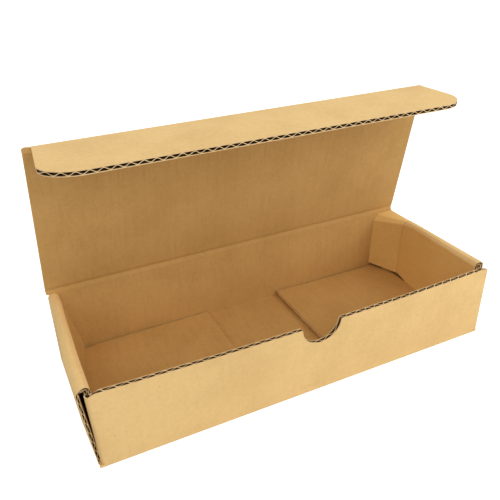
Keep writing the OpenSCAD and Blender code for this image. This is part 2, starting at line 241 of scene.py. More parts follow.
class BoardMesh:
    """Collects closed layers of board and turns them into one mesh object."""

    def __init__(self, name: str) -> None:
        """Starts an empty piece with the name that its object will have."""
        self.name = name
        self.points: list[Array] = []
        self.sheet: list[Array] = []
        self.quads: list[Array] = []
        self.slots: list[Array] = []
        self.count = 0

    def layer(
        self,
        low: Array,
        high: Array,
        sheet: Array,
        low_face: Face,
        high_face: Face | Array,
        rim_face: Face = Face.CUT,
    ) -> None:
        """Adds the closed solid between two grids of points.

        The faces of each grid are its quads, and four strips of quads join the two grids'
        rims. Where the grid's two directions and the way from low to high are left-handed,
        every quad is reversed, so that all faces point outwards.

        Args:
            low: points of one face, shape (m, n, 3), in mm.
            high: points of the other face, the same shape.
            sheet: place on the flat sheet, across and along the flutes, shape (m, n, 2).
            low_face: finish of the low face.
            high_face: finish of the high face, or its quads' slot numbers, shape (m - 1, n - 1).
            rim_face: finish of the rim.
        """
        m, n = low.shape[:2]
        index = np.arange(m * n).reshape(m, n)
        quad = np.stack([index[:-1, :-1], index[1:, :-1], index[1:, 1:], index[:-1, 1:]], axis=-1)
        quad = quad.reshape(-1, 4)
        rim = np.concatenate([index[:-1, 0], index[-1, :-1], index[:0:-1, -1], index[0, :0:-1]])
        after = np.roll(rim, -1)
        side = np.stack([rim, after, after + m * n, rim + m * n], axis=1)
        quads = np.concatenate([quad[:, ::-1], quad + m * n, side])
        here = high[m // 2, n // 2]
        before = high[m // 2 - 1, n // 2]
        beside = high[m // 2, n // 2 - 1]
        ways = [here - before, here - beside, here - low[m // 2, n // 2]]
        if np.linalg.det(ways) < 0:
            quads = quads[:, ::-1]
        if isinstance(high_face, Face):
            high_face = np.full(len(quad), high_face.value)
        hidden = np.full(len(quad), low_face.value)
        rim_slots = np.full(len(side), rim_face.value)
        slots = np.concatenate([hidden, high_face.reshape(-1), rim_slots])
        self.points += [low.reshape(-1, 3), high.reshape(-1, 3)]
        self.sheet += [sheet.reshape(-1, 2)] * 2
        self.quads.append(quads + self.count)
        self.slots.append(slots)
        self.count += 2 * m * n

    def fluted(
        self,
        inner: Array,
        outer: Array,
        sheet: Array,
        faces: tuple[Face, Face | Array] = (Face.INNER, Face.OUTER),
        phase: float = 0.0,
    ) -> None:
        """Adds a stretch of board: two liners and between them a medium that waves as a sine.

        Across the flutes, on axis 0, the medium's middle lies at half the thickness plus the
        wave's height times sin(2 pi (u / pitch + phase)). A thin web closes each long edge.

        Args:
            inner: points of the inner face, shape (m, n, 3).
            outer: points of the outer face, the same shape.
            sheet: place on the flat sheet, shape (m, n, 2), its first value rising on axis 0.
            faces: finishes of the inner and the outer face.
            phase: share of a flute that the wave is shifted by.
        """
        u = sheet[:, sheet.shape[1] // 2, 0]
        liner = STOCK.liner / STOCK.thickness
        span = outer - inner
        # The liners' hidden sides, the webs and the medium take the flute finish, painted shade of the
        # hollows.
        self.layer(inner, inner + span * liner, sheet, faces[0], Face.FLUTE)
        self.layer(inner + span * (1 - liner), outer, sheet, Face.FLUTE, faces[1])
        for start in (u[0], u[-1] - STOCK.web):
            rows = np.array([start, start + STOCK.web])
            web_in, web_out, web_sheet = (resample(grid, u, rows) for grid in (inner, outer, sheet))
            walls = [web_in + (web_out - web_in) * share for share in (liner, 1 - liner)]
            self.layer(*walls, web_sheet, Face.FLUTE, Face.FLUTE)
        steps = int((u[-1] - u[0]) / STOCK.pitch * STOCK.steps_a_flute)
        first, last = u[0] + STOCK.web / 2, u[-1] - STOCK.web / 2
        fine = joined(u[1:-1], np.linspace(first, last, steps + 1))
        fine = fine[(fine >= first) & (fine <= last)]
        low, high, flat = (resample(grid, u, fine) for grid in (inner, outer, sheet))
        half = STOCK.medium / STOCK.thickness / 2
        swing = 0.5 - liner - half * STOCK.crest
        middle = 0.5 + swing * np.sin(2 * np.pi * (fine / STOCK.pitch + phase))[:, None, None]
        self.layer(
            low + (high - low) * (middle - half),
            low + (high - low) * (middle + half),
            flat,
            Face.FLUTE,
            Face.FLUTE,
        )

    def solid(
        self,
        inner: Array,
        outer: Array,
        sheet: Array,
        faces: tuple[Face, Face] = (Face.INNER, Face.OUTER),
    ) -> None:
        """Adds a stretch of board whose flutes don't show at any edge, as one closed layer."""
        self.layer(inner, outer, sheet, faces[0], faces[1], faces[0])

    def finish(self, body: str, dressing: "Dressing") -> bpy.types.Object:
        """Makes the object, dresses it and lets it ride on a body of the frame.

        Args:
            body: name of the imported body.
            dressing: the materials, one for each Face.

        Returns:
            The new object at the origin.
        """
        points = np.concatenate(self.points) * MM
        quads = np.concatenate(self.quads)
        mesh = bpy.data.meshes.new(self.name)
        mesh.from_pydata(points, [], quads)
        mesh.polygons.foreach_set("material_index", np.concatenate(self.slots).astype(np.int32))
        flat = np.concatenate(self.sheet) * MM
        layer = mesh.uv_layers.new(name="sheet")
        layer.data.foreach_set("uv", flat[quads.reshape(-1)].reshape(-1).astype(np.float32))
        mesh.update()
        mesh.validate()
        mesh.shade_smooth()
        mesh.set_sharp_from_angle(angle=math.radians(STOCK.sharp))
        piece = bpy.data.objects.new(self.name, mesh)
        bpy.context.scene.collection.objects.link(piece)
        dressing.dress(piece)
        if body:
            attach(piece, body)
        LOG.info("%s: %d quads on %s", self.name, len(quads), body or "two bodies")
        return piece


def columns(values: Array, n: int) -> Array:
    """A row of values repeated over n columns, shape (m, n)."""
    return np.repeat(values[:, None], n, axis=1)


def notch_top(x: Array) -> Array:
    """Height of the front wall's top edge at x, in mm.

    Inside the shoulders the edge drops by the circle sqrt(r^2 - x^2), outside it rises by
    the shoulder circle, and beyond the shoulders it is level. Its ends slope down.

    Args:
        x: places along the wall.

    Returns:
        A height for each place.
    """
    radius, shoulder, centre = SIZE.notch_r, SIZE.notch_shoulder, SIZE.notch_x
    reach = math.sqrt((radius + shoulder) ** 2 - shoulder**2)
    touch = radius * math.cos(math.asin(shoulder / (radius + shoulder)))
    off = np.abs(x - centre)
    bowl = np.sqrt(np.maximum(radius**2 - np.minimum(off, radius) ** 2, 0))
    inside = np.maximum(shoulder**2 - (reach - np.clip(off, reach - shoulder, reach)) ** 2, 0)
    lip = shoulder - np.sqrt(inside)
    drop = np.where(off < touch, bowl, np.where(off < reach, lip, 0.0))
    end = SIZE.top_slope * np.maximum(np.abs(x) - SIZE.top_flat, 0)
    return SIZE.front_top - drop - end


@dataclass
class Wall:
    """Front or back wall with its two dust flaps, as one strip in plan with upright flutes.

    The folded corners and the dust flaps stand further out towards their tops. Each shift is
    given in mm at the foot and at the top, the left one first, and grows between the two
    distances from the middle in shift_x. The face reach is how far a flap's fold stands
    inside the wall, and each ease is the stretch beside it over which a height, a shift or
    the bow changes from the wall's to the flap's.
    """

    name: str
    sign: int
    top: float
    corner_shift: tuple[tuple[float, float], tuple[float, float]] = ((0.0, 0.0), (0.0, 0.0))
    flap_shift: tuple[tuple[float, float], tuple[float, float]] = ((0.0, 0.8), (0.0, 0.0))
    dust_length: float = 43.0
    dust_top: float = 50.4
    dust_thickness: float = 2.3
    dust_slope: float = 0.05
    dust_foot: float = 0.25
    face_reach: float = 2.2
    step: float = 0.2
    inner_step: float = 0.9
    radii: tuple[float, ...] = (1.5, 1.0, 2.2, 2.2, 1.0, 1.5)
    arc_steps: int = 6
    run_steps: int = 14
    ease: float = 1.5
    shift_x: tuple[float, float] = (110.0, 132.0)
    shift_ease: float = 2.0
    bow_ease: float = 4.0
    steps_along: int = 900
    steps_up: int = 10
    lip_reach: float = 1.5
    lip_steps: int = 61

    def plan(self) -> tuple[Array, Array]:
        """Outer and inner face of the strip in plan, from the right dust flap to the left.

        Returns:
            Two paths of the same number of points, shape (k, 2), in mm.
        """
        wall, y = SIZE.wall_half, SIZE.half_w
        face = SIZE.half_l - STOCK.thickness - SIZE.lie_gap
        back = y - STOCK.thickness
        tip = back - self.dust_length
        hidden = face - self.dust_thickness
        bend = back - self.face_reach
        outer = [[face, tip], [face, bend], [wall, back - self.step], [wall, y]]
        inner = [[hidden, tip], [hidden, bend], [hidden, back - self.inner_step], [hidden, back]]
        tight = (SIZE.crease_r,) * len(self.radii)
        paths = []
        for right, radii in ((outer, self.radii), (inner, tight)):
            corners = np.array(right + [[-a, b] for a, b in right[::-1]])
            paths.append(rounded(corners, radii, self.arc_steps, self.run_steps) * [1, self.sign])
        return paths[0], paths[1]

    def tops(self, x: Array, y: Array) -> Array:
        """Height of the strip's top edge: the wall's own, and a slanting one on the dust flaps.

        Args:
            x: places along the box of the strip's points.
            y: their places across it.

        Returns:
            A height for each point.
        """
        inside = SIZE.half_w - STOCK.thickness - np.abs(y)
        wall_top = notch_top(x) if self.sign < 0 else np.full_like(x, self.top)
        slant = self.dust_top - self.dust_slope * np.maximum(inside, 0)
        share = ramp(inside, 0, self.ease)
        return wall_top * (1 - share) + np.minimum(wall_top, slant) * share

    def places(self, path: Array, z: Array) -> Array:
        """Points of one face: the plan path swept up, with its shifts and the front's bow.

        The bow is a parabola across the wall, 1 - (x / half length)^2, times the height's share.

        Args:
            path: the face in plan, shape (k, 2).
            z: heights of each plan point's column, shape (k, n).

        Returns:
            Points of shape (k, n, 3).
        """
        x = columns(path[:, 0], z.shape[1])
        y = columns(path[:, 1], z.shape[1])
        height = z / SIZE.front_top
        inside = SIZE.half_w - STOCK.thickness - np.abs(y)
        shifts = []
        for left, right in (self.corner_shift, self.flap_shift):
            low, high = (np.where(x < 0, *pair) for pair in zip(left, right))
            shifts.append(low + (high - low) * height)
        on_flap = ramp(inside, 0, self.shift_ease)
        shift = shifts[0] * (1 - on_flap) + shifts[1] * on_flap
        x = x + np.sign(x) * shift * ramp(np.abs(x), *self.shift_x)
        if self.sign < 0:
            rise = ramp(z, STOCK.thickness, SIZE.front_top) * ramp(inside, self.bow_ease, 0)
            y = y - SIZE.front_bow * (1 - (x / SIZE.half_l) ** 2).clip(0) * rise
        return np.stack([x, y, z], axis=-1)

    def build(self, dressing: "Dressing") -> bpy.types.Object:
        """Sweeps the plan strip up from the base and makes the piece.

        Args:
            dressing: the materials and the record slot.

        Returns:
            The piece's object.
        """
        out_path, in_path = self.plan()
        u = lengths(out_path)
        lip = SIZE.notch_r + np.linspace(-self.lip_reach, self.lip_reach, self.lip_steps)
        lips = np.concatenate([SIZE.notch_x - lip, SIZE.notch_x + lip])
        wall = np.abs(out_path[:, 1]) > SIZE.half_w - MERGE
        extra = np.interp(-lips, -out_path[wall, 0], u[wall])
        fine = joined(u, np.linspace(0, u[-1], self.steps_along), extra)
        out_path = resample(out_path[:, None, :], u, fine)[:, 0]
        in_path = resample(in_path[:, None, :], u, fine)[:, 0]
        rows = np.linspace(0, 1, self.steps_up + 1)
        tops = self.tops(out_path[:, 0], out_path[:, 1])
        off_wall = ramp(SIZE.half_w - STOCK.thickness - np.abs(out_path[:, 1]), 0, 1)
        bottom = STOCK.thickness + self.dust_foot * off_wall
        z = bottom[:, None] + (tops - bottom)[:, None] * rows
        sheet = np.stack([columns(fine - u[-1] / 2, len(rows)), z], axis=-1)
        mesh = BoardMesh(self.name)
        mesh.fluted(self.places(in_path, z), self.places(out_path, z), sheet)
        return mesh.finish("tray", dressing)


@dataclass
class Base:
    """Base of the tray with its rounded folds up into the front and back walls."""

    name: str = "base_sheet"
    half_x: float = 134.3
    fold_half_x: float = 134.9
    fold_y: tuple[float, float] = (50.75, 51.45)
    lip: float = 0.32
    arc_steps: int = 8
    run_steps: int = 40
    steps_along: int = 60

    def build(self, dressing: "Dressing") -> bpy.types.Object:
        """Sweeps the folded section, an arc, a flat run and an arc, along X.

        Args:
            dressing: the materials and the record slot.

        Returns:
            The piece's object.
        """
        t, y = STOCK.thickness, SIZE.half_w
        face, lip = y - t, t + self.lip
        steps = (self.arc_steps, self.run_steps)
        under = np.array([[-y, t], [-y, 0], [y, 0], [y, t]])
        over = np.array([[-face, lip], [-face, t], [face, t], [face, lip]])
        outer = rounded(under, [SIZE.fold_r] * 2, *steps)
        inner = rounded(over, [SIZE.crease_r] * 2, *steps)
        at_fold = ramp(np.abs(outer[:, 0]), *self.fold_y)
        half = self.half_x + (self.fold_half_x - self.half_x) * at_fold
        x = np.linspace(-1, 1, self.steps_along)
        grids = []
        for path in (inner, outer):
            grid = np.empty((len(x), len(path), 3))
            grid[..., 0] = x[:, None] * half
            grid[..., 1:] = path
            grids.append(grid)
        sheet = np.stack([grids[1][..., 0], np.tile(lengths(outer), (len(x), 1))], axis=-1)
        mesh = BoardMesh(self.name)
        mesh.solid(grids[0], grids[1], sheet)
        return mesh.finish("tray", dressing)


@dataclass(frozen=True)
class EndShape:
    """How one rolled end has settled: all X are distances outwards, in mm.

    The lean, the rise and the pull at the foot each grow from nothing at their first Y to
    their full amount at their second. The roll is the inner edge's X at some Y, the setback
    is how far the cut front edge stands back at the outer and at the inner side, and the
    lift is how far the floor flap's free edge stands up.
    """

    lean: float
    lean_y: tuple[float, float]
    rise: float
    pull: float
    roll: tuple[tuple[float, float], ...]
    foot_front: float
    foot_back: float
    setback: tuple[float, float]
    floor_edge: float
    lift: float
    rise_y: tuple[float, float] = (30.0, -50.0)
    pull_y: tuple[float, float] = (-15.0, -50.0)
    ear: bool = False
    # The panel's finish: the inner kraft's painted shade, or on the right the ear kraft's painted light.
    panel_face: Face = Face.INNER
    outer_r: float = 0.45


@dataclass
class RolledEnd:
    """One rolled double end: outer wall, roll, inner panel and floor flap, flutes along Y.

    Its path has six legs, named in Leg. On the right the panel's back part is bent inwards as
    an ear across the corner, free of the floor flap along a slit, with a groove at the bend.
    The cut front edge is pinched thinner. The bevels of the roll are shares of its width, and
    their hidden and eared corners are given as shifts in (x, z) from the shown ones.
    """

    name: str
    side: Side
    shape: EndShape
    arc_steps: int = 8
    run_steps: int = 16
    stations: int = 70
    steps_along: int = 25
    steps_round: int = 330
    lean_power: float = 1.3
    foot_power: int = 6
    crushed: float = 2.2
    front_edge: float = 1.7
    pinch: float = 8.0
    edge_r: float = 1.95
    foot_r: float = 0.5
    edge_w: float = 2.05
    edge_step: float = 0.5
    roll_w: float = 8.6
    bevel: float = 0.3
    bevel_hidden: tuple[tuple[float, float], ...] = ((0.9, -2.0), (2.0, -0.9))
    ear_bevel: tuple[tuple[float, float], ...] = ((1.2, -1.8), (0.0, -3.6))
    ear_slope: float = 0.46
    bend_y: float = 27.8
    bend_share: float = 0.75
    groove_half: float = 0.009
    groove: float = 0.28
    slit_z: float = 8.7
    slit_low: float = 6.5
    slit_x: float = 126.5
    slit_y: float = 17.0
    slit_gap: float = 0.5
    slit_station: float = 20.0
    phase: float = 0.2
    setback_x: tuple[float, float] = (138.0, 131.0)
    setback_z: tuple[float, float] = (36.0, 52.0)
    flap_half: float = 49.8
    lift_reach: float = 45.0

    def section(self, y: float, eared: bool) -> tuple[Array, Array]:
        """Shown and hidden face of the folded strip at one y, with or without the ear's bend.

        Args:
            y: place across the box.
            eared: whether the strip is bent inwards beyond the bend.

        Returns:
            Two paths of (x, z) with the same number of points, x positive outwards.
        """
        t, half, form = STOCK.thickness, SIZE.end_half, self.shape
        top = SIZE.roll_top + form.rise * float(ramp(y, *form.rise_y))
        out = SIZE.half_l + form.lean * float(ramp(y, *form.lean_y)) ** self.lean_power
        low = SIZE.half_l - form.pull * float(ramp(y, *form.pull_y))
        edge = t - (t - self.front_edge) * float(ramp(y, self.pinch - half, -half))
        roll = float(np.interp(y, *zip(*form.roll)))
        share = max((y + half) / (2 * half), 0)
        foot_in = form.foot_front + (form.foot_back - form.foot_front) * share**self.foot_power
        beyond = max(y - self.bend_y, 0) if eared else 0.0
        roll -= self.ear_slope * beyond
        foot = SIZE.half_l - foot_in - self.ear_slope * beyond
        width = min(out - roll, self.roll_w)
        bevel = self.bevel * width
        ear = np.array(self.ear_bevel) * beyond / (half - self.bend_y)
        bevel_shown = np.array([[roll + bevel, top], [roll, top - bevel]]) + ear
        floor_low = SIZE.floor_top - t
        shown = [[low - self.edge_w, 0], [low, 0], [out, top], *bevel_shown]
        shown += [[foot, SIZE.floor_top], [form.floor_edge, SIZE.floor_top]]
        hidden = [[low - t - self.edge_step, t], [low - edge, t]]
        hidden += [[out - min(edge, self.crushed), top - self.crushed], *(bevel_shown + self.bevel_hidden)]
        hidden += [[foot + t, floor_low], [form.floor_edge, floor_low]]
        steps = (self.arc_steps, self.run_steps)
        radii = [self.edge_r, form.outer_r * width, bevel, bevel, self.foot_r]
        tight = [SIZE.crease_r] * len(radii)
        return rounded(np.array(shown), radii, *steps), rounded(np.array(hidden), tight, *steps)

    def reach(self, leg: Array, front: Array, back: Array) -> tuple[Array, Array]:
        """Front and back limit in Y of each row of the strip.

        Args:
            leg: the leg that each row is on.
            front: each row's (x, z) at the front of the end.
            back: each row's (x, z) near the slit.

        Returns:
            Two rows of y in mm.
        """
        near, far = self.shape.setback
        inward = ramp(front[:, 0], *self.setback_x)
        high = ramp(front[:, 1], *self.setback_z)
        smooth = high * high * (3 - 2 * high)
        set_in = (near + (far - near) * inward) * smooth * (leg > Leg.EDGE.value)
        on_floor = leg == Leg.FLOOR.value
        start = np.where(on_floor, -self.flap_half, -SIZE.end_half + set_in)
        end = np.where(on_floor, self.flap_half, SIZE.end_half)
        if self.shape.ear:
            bend = self.bend_y - self.slit_gap
            slit = self.slit_y + (bend - self.slit_y) * ramp(back[:, 1], self.slit_low, self.slit_z)
            low = (back[:, 1] < self.slit_z + MERGE) & (back[:, 0] > self.slit_x)
            end = np.where((leg >= Leg.PANEL.value) & low, slit, end)
        else:
            foot = SIZE.half_l - self.shape.foot_back
            end = end - ramp(back[:, 0], foot - 1, foot) * on_floor
        return start, end

    def strip(self, mesh: BoardMesh, upper: bool) -> None:
        """Adds the section's rows above or below the slit to the mesh, each row running along Y.

        A row's points lie at set shares of the way from its front to its back limit. Above the
        slit one of the shares is the bend, so the ear's bend and its groove are straight.

        Args:
            mesh: the piece that is being made.
            upper: whether the rows above the slit are added, or those below it.
        """
        eared = upper and self.shape.ear
        stations = joined(np.linspace(-SIZE.end_half, SIZE.end_half, self.stations), [self.bend_y])
        pairs = [self.section(y, eared) for y in stations]
        grids = [np.stack([pair[k] for pair in pairs], axis=1) for k in (1, 0)]
        middle = len(stations) // 2
        u = lengths(grids[1][:, middle])
        fine = joined(u, np.linspace(0, u[-1], self.steps_round))
        steps = self.arc_steps + self.run_steps
        leg = ((np.interp(fine, u, np.arange(len(u))) + self.arc_steps / 2) // steps).astype(int)
        grids = [resample(grid, u, fine) for grid in grids]
        cut = np.argmax((leg == Leg.PANEL.value) & (grids[1][:, middle, 1] < self.slit_z))
        rows = slice(0, cut + 1) if upper else slice(cut, len(fine))
        hidden, shown = (grid[rows] for grid in grids)
        leg, fine = leg[rows], fine[rows]
        front, back = self.reach(leg, shown[:, 0], shown[:, np.searchsorted(stations, self.slit_station)])
        bend = self.bend_share
        beside = [bend - self.groove_half, bend + self.groove_half]
        share = np.sort(np.append(np.linspace(0, 1, self.steps_along), beside))
        y = front[:, None] + (back - front)[:, None] * share
        if upper:
            before = front[:, None] + (self.bend_y - front)[:, None] * share / bend
            after = self.bend_y + (back[:, None] - self.bend_y) * (share - bend) / (1 - bend)
            y = np.where(share <= bend, before, after)
        place = np.clip(np.searchsorted(stations, y, side="right") - 1, 0, len(stations) - 2)
        part = ((y - stations[place]) / (stations[place + 1] - stations[place]))[..., None]
        row = np.arange(len(fine))[:, None]
        faces = []
        for grid in (hidden, shown):
            points = grid[row, place] * (1 - part) + grid[row, place + 1] * part
            free = self.shape.floor_edge
            on_floor = (leg == Leg.FLOOR.value)[:, None]
            raised = ramp(points[..., 0], free + self.lift_reach, free) ** 2 * self.shape.lift * on_floor
            faces.append(np.stack([points[..., 0] * self.side.value, y, points[..., 1] + raised], axis=-1))
        if eared:
            in_groove = np.abs(share - bend) < self.groove_half / 2
            deep = self.groove * in_groove * ramp(leg, Leg.WALL.value, Leg.BEVEL.value)[:, None]
            faces[1] = faces[1] + (faces[0] - faces[1]) * deep[..., None]
        sheet = np.stack([columns(fine, len(share)), y], axis=-1)
        on_leg = leg[:-1, None]
        on_ear = (share[:-1] > bend - TINY) & (on_leg >= Leg.TOP.value) & eared
        on_panel = (on_leg == Leg.PANEL.value) | on_ear
        # The panel and floor flap take the inner kraft with its painted shade, unless the panel has its own
        # finish.
        shown_face = np.where(on_leg < Leg.PANEL.value, Face.OUTER.value, Face.INNER.value)
        shown_face = np.where(on_panel, self.shape.panel_face.value, shown_face)
        mesh.fluted(faces[0], faces[1], sheet, (Face.INNER, shown_face), self.phase)

    def build(self, dressing: "Dressing") -> bpy.types.Object:
        """Adds the walls down to the slit and the floor flap below it, and makes the piece.

        Args:
            dressing: the materials and the record slot.

        Returns:
            The piece's object.
        """
        mesh = BoardMesh(self.name)
        self.strip(mesh, True)
        self.strip(mesh, False)
        return mesh.finish("tray", dressing)


FRONT_CORNERS = ((-1.9, 0.5), (0.3, 0.9))
FRONT_FLAPS = ((0.0, 2.2), (0.0, 1.3))
LEFT_SHAPE = EndShape(
    lean=4.0,
    lean_y=(40.0, -20.0),
    rise=0.8,
    pull=1.2,
    roll=((-46.8, 131.9), (-14, 131.5), (3, 130.9), (23.7, 130.4), (40.6, 129.5)),
    foot_front=9.0,
    foot_back=17.0,
    setback=(1.0, 4.0),
    floor_edge=28.4,
    lift=0.2,
)
RIGHT_SHAPE = EndShape(
    lean=1.6,
    lean_y=(45.0, -50.0),
    rise=0.6,
    pull=0.0,
    roll=((-48, 130.1), (18, 130.3), (27.8, 128.4)),
    foot_front=9.0,
    foot_back=9.0,
    setback=(4.0, 4.2),
    floor_edge=30.3,
    lift=0.9,
    ear=True,
    # The right panel and ear take the ear kraft with its painted light.
    panel_face=Face.EAR,
    outer_r=0.33,
)


@dataclass(frozen=True)
class LidFrame:
    """Places of the open lid and its tuck flap: their axes, directions and outward normals."""

    axis: Array = field(default_factory=lambda: np.array(SIZE.hinge))

    def lid_way(self) -> Array:
        """Direction in (y, z) from the hinge to the lid's free edge."""
        a = math.radians(SIZE.lid_angle)
        return np.array([-math.cos(a), math.sin(a)])

    def lid_normal(self) -> Array:
        """Outward normal of the lid in (y, z)."""
        a = math.radians(SIZE.lid_angle)
        return np.array([math.sin(a), math.cos(a)])

    def flap_axis(self) -> Array:
        """The tuck flap's fold line in (y, z)."""
        return self.axis + self.lid_way() * SIZE.lid_length

    def flap_way(self) -> Array:
        """Direction in (y, z) from the tuck flap's fold to its free edge."""
        a = math.radians(SIZE.lid_angle - SIZE.flap_angle)
        return np.array([-math.cos(a), math.sin(a)])

    def flap_normal(self) -> Array:
        """Outward normal of the tuck flap in (y, z)."""
        a = math.radians(SIZE.lid_angle - SIZE.flap_angle)
        return np.array([math.sin(a), math.cos(a)])


def panel(x: Array, s: Array, n: Array, origin: Array, way: Array, normal: Array) -> Array:
    """Points of a flat panel: origin plus s along its way plus n along its normal, at x.

    Args:
        x: places along the box, shape (m, k).
        s: distances from the fold, the same shape.
        n: distances off the panel's middle, the same shape.
        origin: the fold's (y, z).
        way: direction in (y, z) away from the fold.
        normal: outward direction in (y, z).

    Returns:
        Points of shape (m, k, 3).
    """
    y = origin[0] + s * way[0] + n * normal[0]
    z = origin[1] + s * way[1] + n * normal[1]
    return np.stack([np.broadcast_to(x, y.shape), y, z], axis=-1)


@dataclass
class Lid:
    """The lid panel between its two creases, very slightly warped, flutes front to back.

    Its left side spreads a little towards the hinge, as the pressed board does there.
    """

    name: str = "lid_panel"
    warp: float = 0.35
    hinge_left: float = 136.9
    steps_across: int = 240
    steps_up: int = 24

    def build(self, frame: LidFrame, dressing: "Dressing") -> bpy.types.Object:
        """Makes the panel as a grid across X and along the lid.

        The warp is sin(pi * share of the length) times the squared share of the way left.

        Args:
            frame: the open lid's axes and directions.
            dressing: the materials and the record slot.

        Returns:
            The piece's object.
        """
        x = np.linspace(-SIZE.lid_half, SIZE.lid_half, self.steps_across)
        s = np.linspace(SIZE.crease_reach, SIZE.lid_length - SIZE.crease_reach, self.steps_up)
        grid_x, grid_s = np.meshgrid(x, s, indexing="ij")
        share = (grid_s - s[0]) / (s[-1] - s[0])
        spread = (self.hinge_left - SIZE.lid_half) * (1 - share)
        grid_x = grid_x - spread * (SIZE.lid_half - grid_x) / (2 * SIZE.lid_half)
        leftward = (SIZE.lid_half - grid_x) / (2 * SIZE.lid_half)
        bend = -self.warp * np.sin(np.pi * share) * leftward**2
        half = STOCK.thickness / 2
        grids = [
            panel(grid_x, grid_s, bend + n, frame.axis, frame.lid_way(), frame.lid_normal())
            for n in (-half, half)
        ]
        sheet = np.stack([grid_x, grid_s], axis=-1)
        mesh = BoardMesh(self.name)
        mesh.fluted(grids[0], grids[1], sheet)
        return mesh.finish("lid", dressing)


@dataclass
class TuckFlap:
    """The tuck flap beyond its crease, with sides that flare a little and round free corners.

    Its ends are wider than the gap between the rolled ends, so they are pressed in as the flap is
    tucked: the piece narrows from its free edge to its crease, to what the gap leaves.
    """

    name: str = "tuck_flap_panel"
    roots: tuple[float, float] = (-129.6, 133.2)
    tips: tuple[float, float] = (-133.4, 137.8)
    radii: tuple[float, float] = (24.0, 21.0)
    depths: tuple[float, float] = (16.0, 20.0)
    pressed: float = 0.934
    press_x: float = -40.2
    corner_steps: int = 41
    steps_across: int = 200
    steps_down: int = 12

    def build(self, frame: LidFrame, dressing: "Dressing") -> bpy.types.Object:
        """Makes the panel as a grid across X and along the flap, ended by the corners' ellipses.

        Args:
            frame: the open lid's axes and directions.
            dressing: the materials and the record slot.

        Returns:
            The piece's object.
        """
        ease = (np.sin(np.linspace(-np.pi / 2, np.pi / 2, self.corner_steps)) + 1) / 2
        inner = (self.tips[0] + self.radii[0], self.tips[1] - self.radii[1])
        left, right = inner[0] - ease * self.radii[0], inner[1] + ease * self.radii[1]
        x = joined(left, np.linspace(*inner, self.steps_across), right)
        radius, depth = np.where(x < 0, *self.radii), np.where(x < 0, *self.depths)
        into = np.clip(np.where(x < 0, inner[0] - x, x - inner[1]) / radius, 0, 1)
        far = SIZE.flap_tip - depth + depth * np.sqrt(1 - into**2)
        rows = np.linspace(0, 1, self.steps_down)
        s = SIZE.crease_reach + (far - SIZE.crease_reach)[:, None] * rows
        narrow = np.where(x < 0, self.roots[0] / self.tips[0], self.roots[1] / self.tips[1])[:, None]
        grid_x = x[:, None] * (narrow + (1 - narrow) * s / SIZE.flap_tip)
        half = STOCK.thickness / 2
        grids = [
            panel(grid_x, s, np.full_like(s, n), frame.flap_axis(), frame.flap_way(), frame.flap_normal())
            for n in (-half, half)
        ]
        sheet = np.stack([columns(x, len(rows)), s + SIZE.lid_length], axis=-1)
        mesh = BoardMesh(self.name)
        mesh.fluted(grids[0], grids[1], sheet)
        piece = mesh.finish("tuck_flap", dressing)
        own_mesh(piece)
        return piece


@dataclass
class Crease:
    """A strip of board that bends across a joint, with its outer and inner face as corner points.

    Its ends are given as the left and right X on its first and on its last body, and they stay
    at the first until the share full_until of the way across.
    """

    name: str
    bodies: tuple[str, str]
    outer: Array
    inner: Array
    radii: tuple[float, float]
    left: tuple[float, float]
    right: tuple[float, float]
    full_until: float = 0.0
    arc_steps: int = 12
    run_steps: int = 6
    steps_across: int = 80

    def build(self, dressing: "Dressing") -> bpy.types.Object:
        """Sweeps the bent section along X, its ends going from the first body's X to the last body's, on no
        body.

        Args:
            dressing: the materials and the record slot.

        Returns:
            The piece's object.
        """
        steps = (self.arc_steps, self.run_steps)
        out_path = rounded(self.outer, [self.radii[0]], *steps)
        in_path = rounded(self.inner, [self.radii[1]], *steps)
        across = np.linspace(0, 1, self.steps_across)[:, None]
        grids = []
        for path in (in_path, out_path):
            share = lengths(path) / lengths(path)[-1]
            left, right = (np.interp(share, (self.full_until, 1), ends) for ends in (self.left, self.right))
            grid = np.empty((len(across), len(path), 3))
            grid[..., 0] = left + (right - left) * across
            grid[..., 1:] = path
            grids.append(grid)
        sheet = np.stack([grids[1][..., 0], np.tile(lengths(out_path), (len(across), 1))], axis=-1)
        mesh = BoardMesh(self.name)
        mesh.solid(grids[0], grids[1], sheet)
        piece = mesh.finish("", dressing)
        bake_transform(piece)
        return piece


@dataclass(frozen=True)
class Grain:
    """Settings of one Noise texture: its scale in marks a metre, its octaves and roughness."""

    scale: float
    detail: float
    rough: float


def socket(tree: bpy.types.NodeTree, name: str, kind: str, way: str, value: object = None) -> None:
    """Adds one named input or output to a node group.

    Args:
        tree: the group.
        name: the socket's name.
        kind: the socket's type.
        way: INPUT or OUTPUT.
        value: the default value, if it has one.
    """
    made = tree.interface.new_socket(name=name, in_out=way, socket_type=kind)
    if value is not None:
        made.default_value = value


